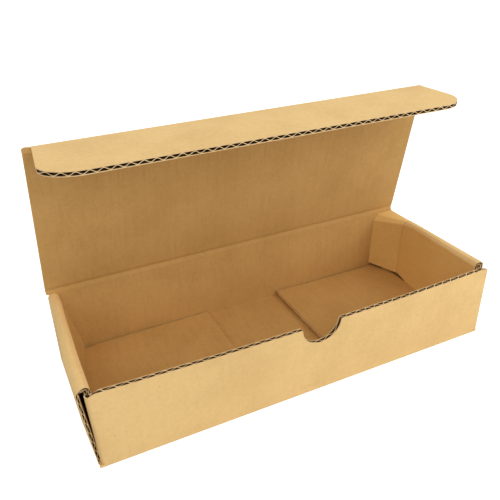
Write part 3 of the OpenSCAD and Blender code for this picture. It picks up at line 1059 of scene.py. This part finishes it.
class Nodes:
    """Short calls for adding and linking shader nodes in one tree."""

    def __init__(self, tree: bpy.types.NodeTree) -> None:
        """Works in the given node tree."""
        self.tree = tree

    def add(self, kind: str, **settings: object) -> bpy.types.Node:
        """Adds a node.

        Args:
            kind: the node's type.
            settings: properties of the node to set, by name.

        Returns:
            The node.
        """
        node = self.tree.nodes.new(kind)
        for name, value in settings.items():
            setattr(node, name, value)
        return node

    def link(self, source: bpy.types.NodeSocket, target: bpy.types.NodeSocket) -> None:
        """Links an output to an input."""
        self.tree.links.new(source, target)

    def math(
        self, operation: str, a: object, b: object = None, clamp: bool = False
    ) -> bpy.types.NodeSocket:
        """Adds a Math node.

        Args:
            operation: the node's operation.
            a: first value, a socket or a number.
            b: second value, if the operation has one.
            clamp: whether the result is held between 0 and 1.

        Returns:
            The node's output.
        """
        node = self.add("ShaderNodeMath", operation=operation, use_clamp=clamp)
        for index, value in enumerate((a, b)):
            if isinstance(value, bpy.types.NodeSocket):
                self.link(value, node.inputs[index])
            elif value is not None:
                node.inputs[index].default_value = value
        return node.outputs[0]

    def noise(self, vector: bpy.types.NodeSocket, grain: Grain) -> bpy.types.NodeSocket:
        """Adds a Noise texture.

        Args:
            vector: the place that the noise is read at.
            grain: the texture's settings.

        Returns:
            The noise's value, about 0 to 1.
        """
        node = self.add("ShaderNodeTexNoise")
        self.link(vector, node.inputs["Vector"])
        node.inputs["Scale"].default_value = grain.scale
        node.inputs["Detail"].default_value = grain.detail
        node.inputs["Roughness"].default_value = grain.rough
        return node.outputs["Fac"]

    def scaled(self, value: object, amount: float) -> bpy.types.NodeSocket:
        """Multiplies a value by a constant."""
        return self.math("MULTIPLY", value, amount)

    def stretched(self, vector: bpy.types.NodeSocket, along: float) -> bpy.types.NodeSocket:
        """Scales a vector's Y, so that a noise on it is drawn out along Y.

        Args:
            vector: the place to scale.
            along: the factor on Y.

        Returns:
            The scaled vector.
        """
        node = self.add("ShaderNodeMapping")
        node.inputs["Scale"].default_value = (1.0, along, 1.0)
        self.link(vector, node.inputs["Vector"])
        return node.outputs["Vector"]

    def ramp(self, value: bpy.types.NodeSocket, low: float, high: float) -> bpy.types.NodeSocket:
        """Maps a range of a value to 0..1, smoothly.

        Args:
            value: the value to map.
            low: the value that becomes 0.
            high: the value that becomes 1.

        Returns:
            The mapped value.
        """
        node = self.add("ShaderNodeMapRange", interpolation_type="SMOOTHSTEP")
        self.link(value, node.inputs["Value"])
        node.inputs["From Min"].default_value = low
        node.inputs["From Max"].default_value = high
        return node.outputs["Result"]

    def mix(self, factor: object, a: object, b: object) -> bpy.types.NodeSocket:
        """Adds a colour Mix node.

        Args:
            factor: share of the second colour, a socket or a number.
            a: first colour, a socket or a constant.
            b: second colour, a socket or a constant.

        Returns:
            The mixed colour.
        """
        node = self.add("ShaderNodeMix", data_type="RGBA")
        for target, value in ((node.inputs[0], factor), (node.inputs[6], a), (node.inputs[7], b)):
            if isinstance(value, bpy.types.NodeSocket):
                self.link(value, target)
            else:
                target.default_value = value
        return node.outputs[2]


@dataclass
class KraftGroups:
    """The shader node groups that the paper materials share, with the scales of their marks."""

    mottle: Grain = Grain(28, 5, 0.6)
    cloud: Grain = Grain(420, 3, 0.6)
    fibre: Grain = Grain(3200, 3, 0.65)
    fibre_along: float = 0.22
    specks: Grain = Grain(900, 2, 0.5)
    speck_range: tuple[float, float] = (0.7, 0.78)
    speck_strength: float = 0.45
    mottle_range: tuple[float, float] = (0.35, 0.7)
    mottle_amount: float = 0.5
    cloud_middle: float = 0.3
    cloud_amount: float = 0.9
    fibre_middle: float = 0.5
    fibre_amount: float = 1.1
    rough_base: float = 0.72
    rough_fibre: float = 0.16
    fibre_height: float = 0.6
    cloud_height: float = 0.4
    streaks: Grain = Grain(620, 3, 0.6)
    streak_along: float = 0.07
    streak_range: tuple[float, float] = (0.52, 0.72)
    drift: Grain = Grain(18, 2, 0.5)
    drift_amount: float = 0.35
    fading: Grain = Grain(40, 3, 0.6)
    fade_range: tuple[float, float] = (0.25, 0.75)
    faintest: float = 0.3
    line_power: float = 2.2

    def __post_init__(self) -> None:
        """Builds each group once."""
        self.paper = self.make_paper()
        self.washboard = self.make_washboard()

    def make_paper(self) -> bpy.types.NodeTree:
        """Kraft paper: soft mottle, short fibres and a few dark specks over a base colour.

        Returns:
            The group, with outputs Color, Roughness and Height.
        """
        tree = bpy.data.node_groups.new("kraft_paper", "ShaderNodeTree")
        socket(tree, "Vector", "NodeSocketVector", "INPUT")
        socket(tree, "Paper", "NodeSocketColor", "INPUT", (0.6, 0.4, 0.2, 1))
        socket(tree, "Shade", "NodeSocketColor", "INPUT", (0.5, 0.33, 0.16, 1))
        socket(tree, "Speck", "NodeSocketColor", "INPUT", (0.25, 0.14, 0.06, 1))
        socket(tree, "Color", "NodeSocketColor", "OUTPUT")
        socket(tree, "Roughness", "NodeSocketFloat", "OUTPUT")
        socket(tree, "Height", "NodeSocketFloat", "OUTPUT")
        n = Nodes(tree)
        given = n.add("NodeGroupInput")
        result = n.add("NodeGroupOutput")
        vector = given.outputs["Vector"]
        mottle = n.ramp(n.noise(vector, self.mottle), *self.mottle_range)
        cloud = n.noise(vector, self.cloud)
        fibre = n.noise(n.stretched(vector, self.fibre_along), self.fibre)
        speck = n.ramp(n.noise(vector, self.specks), *self.speck_range)
        cloudy = n.scaled(n.math("SUBTRACT", cloud, self.cloud_middle), self.cloud_amount)
        fibrous = n.scaled(n.math("SUBTRACT", fibre, self.fibre_middle), self.fibre_amount)
        shade = n.math("ADD", n.scaled(mottle, self.mottle_amount), cloudy)
        shade = n.math("ADD", shade, fibrous, clamp=True)
        colour = n.mix(shade, given.outputs["Paper"], given.outputs["Shade"])
        colour = n.mix(n.scaled(speck, self.speck_strength), colour, given.outputs["Speck"])
        rough = n.math("ADD", n.scaled(fibre, self.rough_fibre), self.rough_base)
        height = n.math("ADD", n.scaled(fibre, self.fibre_height), n.scaled(cloud, self.cloud_height))
        n.link(colour, result.inputs["Color"])
        n.link(rough, result.inputs["Roughness"])
        n.link(height, result.inputs["Height"])
        return tree

    def make_washboard(self) -> bpy.types.NodeTree:
        """Washboard: the flutes that show through a liner as faint lines, one to a flute.

        Returns:
            The group, with outputs Line, Streak (short marks along the flutes) and Height.
        """
        tree = bpy.data.node_groups.new("washboard", "ShaderNodeTree")
        socket(tree, "Sheet", "NodeSocketVector", "INPUT")
        socket(tree, "Flutes", "NodeSocketFloat", "INPUT", 1 / (STOCK.pitch * MM))
        socket(tree, "Line", "NodeSocketFloat", "OUTPUT")
        socket(tree, "Streak", "NodeSocketFloat", "OUTPUT")
        socket(tree, "Height", "NodeSocketFloat", "OUTPUT")
        n = Nodes(tree)
        given = n.add("NodeGroupInput")
        result = n.add("NodeGroupOutput")
        sheet = given.outputs["Sheet"]
        streak = n.ramp(n.noise(n.stretched(sheet, self.streak_along), self.streaks), *self.streak_range)
        n.link(streak, result.inputs["Streak"])
        split = n.add("ShaderNodeSeparateXYZ")
        n.link(sheet, split.inputs[0])
        turns = n.math("MULTIPLY", split.outputs["X"], given.outputs["Flutes"])
        turns = n.math("ADD", turns, n.scaled(n.noise(sheet, self.drift), self.drift_amount))
        wave = n.math("SINE", n.scaled(turns, 2 * math.pi))
        level = n.math("ADD", n.scaled(wave, 0.5), 0.5)
        narrow = n.math("POWER", level, self.line_power)
        fade = n.ramp(n.noise(sheet, self.fading), *self.fade_range)
        clear = n.math("ADD", n.scaled(fade, 1 - self.faintest), self.faintest)
        line = n.math("MULTIPLY", narrow, clear)
        n.link(line, result.inputs["Line"])
        n.link(level, result.inputs["Height"])
        return tree


@dataclass(frozen=True)
class KraftFinish:
    """One finish of the board: its colours and how strongly the flutes show through."""

    name: str
    paper: tuple[float, float, float, float]
    shade: tuple[float, float, float, float]
    line_colour: tuple[float, float, float, float]
    line: float
    bump: float
    streak: float = 0.0
    speck: tuple[float, float, float, float] = (0.22, 0.12, 0.05, 1.0)
    paper_height: float = 0.35
    flute_height: float = 0.4
    bump_depth: float = 0.00025
    specular: float = 0.25

    def make(self, groups: KraftGroups) -> bpy.types.Material:
        """Builds the material from the shared groups.

        Args:
            groups: the shared shader node groups.

        Returns:
            The new material.
        """
        made = bpy.data.materials.new(self.name)
        made.use_nodes = True
        made.node_tree.nodes.clear()
        n = Nodes(made.node_tree)
        place = n.add("ShaderNodeTexCoord")
        paper = n.add("ShaderNodeGroup", node_tree=groups.paper)
        n.link(place.outputs["Object"], paper.inputs["Vector"])
        paper.inputs["Paper"].default_value = self.paper
        paper.inputs["Shade"].default_value = self.shade
        paper.inputs["Speck"].default_value = self.speck
        wash = n.add("ShaderNodeGroup", node_tree=groups.washboard)
        n.link(place.outputs["UV"], wash.inputs["Sheet"])
        line = n.scaled(wash.outputs["Line"], self.line)
        colour = n.mix(line, paper.outputs["Color"], self.line_colour)
        colour = n.mix(n.scaled(wash.outputs["Streak"], self.streak), colour, self.line_colour)
        flutes = n.scaled(wash.outputs["Height"], self.flute_height if self.line else 0.0)
        height = n.math("ADD", n.scaled(paper.outputs["Height"], self.paper_height), flutes)
        bump = n.add("ShaderNodeBump")
        bump.inputs["Strength"].default_value = self.bump
        bump.inputs["Distance"].default_value = self.bump_depth
        n.link(height, bump.inputs["Height"])
        shader = n.add("ShaderNodeBsdfPrincipled")
        shader.inputs["Specular IOR Level"].default_value = self.specular
        n.link(colour, shader.inputs["Base Color"])
        n.link(paper.outputs["Roughness"], shader.inputs["Roughness"])
        n.link(bump.outputs["Normal"], shader.inputs["Normal"])
        out = n.add("ShaderNodeOutputMaterial")
        n.link(shader.outputs["BSDF"], out.inputs["Surface"])
        return made


OUTER_KRAFT = KraftFinish(
    "outer_kraft",
    paper=(0.87, 0.6, 0.26, 1),
    shade=(0.74, 0.48, 0.195, 1),
    line_colour=(0.66, 0.42, 0.18, 1),
    line=0.06,
    bump=0.12,
    streak=0.08,
)
# Inner kraft: the same paper as the outer, painted darker and more saturated as the shade inside the box.
INNER_KRAFT_PAINTED_SHADE = KraftFinish(
    "inner_kraft_painted_shade",
    paper=(0.635, 0.375, 0.125, 1),
    shade=(0.52, 0.295, 0.088, 1),
    line_colour=(0.4, 0.21, 0.06, 1),
    line=0.06,
    bump=0.15,
    streak=0.22,
)
# Near-black paper for the medium and the liners' hidden sides: painted shade inside the hollow flutes.
FLUTE_PAINTED_SHADE = KraftFinish(
    "flute_painted_shade",
    paper=(0.13, 0.075, 0.03, 1),
    shade=(0.08, 0.045, 0.02, 1),
    line_colour=(0.1, 0.06, 0.02, 1),
    line=0.0,
    bump=0.3,
)
CUT_KRAFT = KraftFinish(
    "cut_edge",
    paper=(0.82, 0.58, 0.3, 1),
    shade=(0.68, 0.45, 0.2, 1),
    line_colour=(0.7, 0.5, 0.28, 1),
    line=0.0,
    bump=0.5,
)


# Ear kraft: the panel's paper painted lighter and more saturated, as light falling on the right inner panel
# and ear.
EAR_KRAFT_PAINTED_LIGHT = KraftFinish(
    "ear_kraft_painted_light",
    paper=(0.95, 0.64, 0.235, 1),
    shade=(0.84, 0.54, 0.185, 1),
    line_colour=(0.68, 0.42, 0.14, 1),
    line=0.05,
    bump=0.15,
    streak=0.12,
)


@dataclass
class Dressing:
    """The materials of one part of the sheet, in the order of Face, and its record slot."""

    materials: list[bpy.types.Material]
    slot: str

    def dress(self, piece: bpy.types.Object) -> None:
        """Appends the materials to a piece.

        Args:
            piece: the new object.
        """
        for material in self.materials:
            piece.data.materials.append(material)


@dataclass(frozen=True)
class Lamp:
    """A square area lamp: its place and size in metres and its power in watts."""

    name: str
    place: tuple[float, float, float]
    size: float
    power: float


@dataclass
class Studio:
    """White ground, soft lamps and a camera with the photograph's view.

    The camera's place is in mm, its angles are in degrees and its focal length is in pixels
    of a square frame.
    """

    focal_px: float = 602.70
    frame_px: float = 500.0
    place: tuple[float, float, float] = (-158.12, -297.53, 263.80)
    yaw: float = -25.488
    pitch: float = -29.137
    roll: float = 1.194
    sensor: float = 36.0
    clip: tuple[float, float] = (0.01, 50.0)
    horizon: float = 0.2
    zenith: float = 0.86
    floor_size: float = 6.0
    floor_grey: float = 0.75
    floor_rough: float = 0.9
    floor_glow: float = 0.75
    aim: tuple[float, float, float] = (0.0, 0.0, 0.05)
    lights: tuple[Lamp, ...] = (
        Lamp("key", (0.55, -0.75, 0.5), 0.7, 4.5),
        Lamp("fill", (-0.7, -0.45, 0.8), 0.7, 1.0),
    )

    def build(self) -> None:
        """Makes the ground, the world, the lamps and the camera."""
        self.ground()
        self.world()
        self.lamps()
        self.camera()

    def ground(self) -> None:
        """A plain white floor that the camera sees as white, with the object's shadow on it."""
        size = self.floor_size
        corners = [(-size, -size, 0), (size, -size, 0), (size, size, 0), (-size, size, 0)]
        mesh = bpy.data.meshes.new("floor")
        mesh.from_pydata(corners, [], [(0, 1, 2, 3)])
        floor = bpy.data.objects.new("floor", mesh)
        bpy.context.scene.collection.objects.link(floor)
        made = bpy.data.materials.new("white_ground")
        made.use_nodes = True
        n = Nodes(made.node_tree)
        shader = made.node_tree.nodes["Principled BSDF"]
        shader.inputs["Base Color"].default_value = (*[self.floor_grey] * 3, 1)
        shader.inputs["Roughness"].default_value = self.floor_rough
        glow = n.add("ShaderNodeEmission")
        glow.inputs["Color"].default_value = (1, 1, 1, 1)
        path = n.add("ShaderNodeLightPath")
        n.link(n.scaled(path.outputs["Is Camera Ray"], self.floor_glow), glow.inputs["Strength"])
        both = n.add("ShaderNodeAddShader")
        n.link(shader.outputs[0], both.inputs[0])
        n.link(glow.outputs[0], both.inputs[1])
        n.link(both.outputs[0], made.node_tree.nodes["Material Output"].inputs["Surface"])
        mesh.materials.append(made)

    def world(self) -> None:
        """A pale sky, brighter overhead, that the camera and glossy rays see as white."""
        world = bpy.data.worlds.new("studio")
        bpy.context.scene.world = world
        world.use_nodes = True
        n = Nodes(world.node_tree)
        sky = world.node_tree.nodes["Background"]
        sky.inputs["Color"].default_value = (1, 1, 1, 1)
        place = n.add("ShaderNodeTexCoord")
        split = n.add("ShaderNodeSeparateXYZ")
        n.link(place.outputs["Generated"], split.inputs[0])
        height = n.math("MAXIMUM", split.outputs["Z"], 0.0)
        n.link(n.math("ADD", n.scaled(height, self.zenith), self.horizon), sky.inputs["Strength"])
        white = n.add("ShaderNodeBackground")
        white.inputs["Color"].default_value = (1, 1, 1, 1)
        white.inputs["Strength"].default_value = 1.0
        path = n.add("ShaderNodeLightPath")
        seen = n.math("MAXIMUM", path.outputs["Is Camera Ray"], path.outputs["Is Glossy Ray"])
        pick = n.add("ShaderNodeMixShader")
        n.link(seen, pick.inputs[0])
        n.link(sky.outputs[0], pick.inputs[1])
        n.link(white.outputs[0], pick.inputs[2])
        n.link(pick.outputs[0], world.node_tree.nodes["World Output"].inputs["Surface"])

    def lamps(self) -> None:
        """A soft lamp in front on the right and a weaker, higher one on the left."""
        for light in self.lights:
            lamp = bpy.data.lights.new(light.name, "AREA")
            lamp.size = light.size
            lamp.energy = light.power
            holder = bpy.data.objects.new(light.name, lamp)
            bpy.context.scene.collection.objects.link(holder)
            holder.location = light.place
            way = Vector(self.aim) - Vector(light.place)
            holder.rotation_euler = way.to_track_quat("-Z", "Y").to_euler()

    def camera(self) -> None:
        """Sets the camera with the photograph's place, direction and focal length."""
        lens = bpy.data.cameras.new("camera")
        lens.sensor_width = self.sensor
        lens.sensor_fit = "AUTO"
        lens.lens = self.focal_px / self.frame_px * self.sensor
        lens.clip_start, lens.clip_end = self.clip
        holder = bpy.data.objects.new("camera", lens)
        bpy.context.scene.collection.objects.link(holder)
        holder.location = Vector(self.place) * MM
        turn = (
            Euler((0, 0, math.radians(self.yaw))).to_matrix()
            @ Euler((math.radians(self.pitch), 0, 0)).to_matrix()
            @ Euler((0, math.radians(self.roll), 0)).to_matrix()
            @ Euler((math.radians(90), 0, 0)).to_matrix()
        )
        holder.rotation_euler = turn.to_euler()
        bpy.context.scene.camera = holder


INNER_HINGE_STEP = 0.5
FLAP_CREASE_FULL = 0.35


def make_creases(frame: LidFrame) -> list[Crease]:
    """The two creases of the lid, each as corner points of its outer and inner face.

    Args:
        frame: the open lid's axes and directions.

    Returns:
        The hinge crease and the tuck flap's crease.
    """
    half, reach = STOCK.thickness / 2, SIZE.crease_reach
    way, normal = frame.lid_way(), frame.lid_normal()
    low, back = SIZE.back_top, SIZE.half_w
    lid_out = frame.axis + way * reach + normal * half
    lid_in = frame.axis + way * reach - normal * half
    bend = math.radians(90 - SIZE.lid_angle)
    outer_corner = frame.axis + np.array([half, half * math.tan(bend / 2)])
    inner_corner = frame.axis + np.array([INNER_HINGE_STEP - half, -half * math.tan(bend / 2)])
    hinge = Crease(
        "lid_crease",
        ("tray", "lid"),
        np.array([[back, low], outer_corner, lid_out]),
        np.array([[back - 2 * half, low], inner_corner, lid_in]),
        (1.5, 0.5),
        (-Lid.hinge_left, -Lid.hinge_left),
        (SIZE.lid_half, SIZE.lid_half),
    )
    axis = frame.flap_axis()
    flap_way, flap_normal = frame.flap_way(), frame.flap_normal()
    corner = axis + normal * half + way * half * math.tan(math.radians(SIZE.flap_angle) / 2)
    lid_end, flap_start = axis - way * reach, axis + flap_way * reach
    fold = Crease(
        "tuck_flap_crease",
        ("lid", "tuck_flap"),
        np.array([lid_end + normal * half, corner, flap_start + flap_normal * half]),
        np.array([lid_end - normal * half, 2 * axis - corner, flap_start - flap_normal * half]),
        (1.6, 0.3),
        (-SIZE.lid_half, TuckFlap.roots[0]),
        (SIZE.lid_half, TuckFlap.roots[1]),
        FLAP_CREASE_FULL,
    )
    return [hinge, fold]


def main() -> None:
    """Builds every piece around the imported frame, then the studio."""
    logging.basicConfig(level=logging.INFO)
    scene = bpy.context.scene
    for old in list(scene.objects):
        bpy.data.objects.remove(old)
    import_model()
    scene.view_settings.view_transform = "Standard"
    groups = KraftGroups()
    finishes = (OUTER_KRAFT, INNER_KRAFT_PAINTED_SHADE, FLUTE_PAINTED_SHADE, CUT_KRAFT, EAR_KRAFT_PAINTED_LIGHT)
    materials = [finish.make(groups) for finish in finishes]
    tray = Dressing(materials, "tray_board")
    lid = Dressing(materials, "lid_board")
    flap = Dressing(materials, "flap_board")
    frame = LidFrame()
    base = Base().build(tray)
    Wall("front_wall", -1, SIZE.front_top, FRONT_CORNERS, FRONT_FLAPS).build(tray)
    Wall("back_wall", 1, SIZE.back_top).build(tray)
    RolledEnd("left_end", Side.LEFT, LEFT_SHAPE).build(tray)
    RolledEnd("right_end", Side.RIGHT, RIGHT_SHAPE).build(tray)
    lid_panel = Lid().build(frame, lid)
    flap_panel = TuckFlap().build(frame, flap)
    for crease, dressing in zip(make_creases(frame), (lid, flap)):
        crease.build(dressing)
    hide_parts("tray")
    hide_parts("lid")
    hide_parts("tuck_flap")
    Studio().build()


if __name__ == "__main__":
    main()
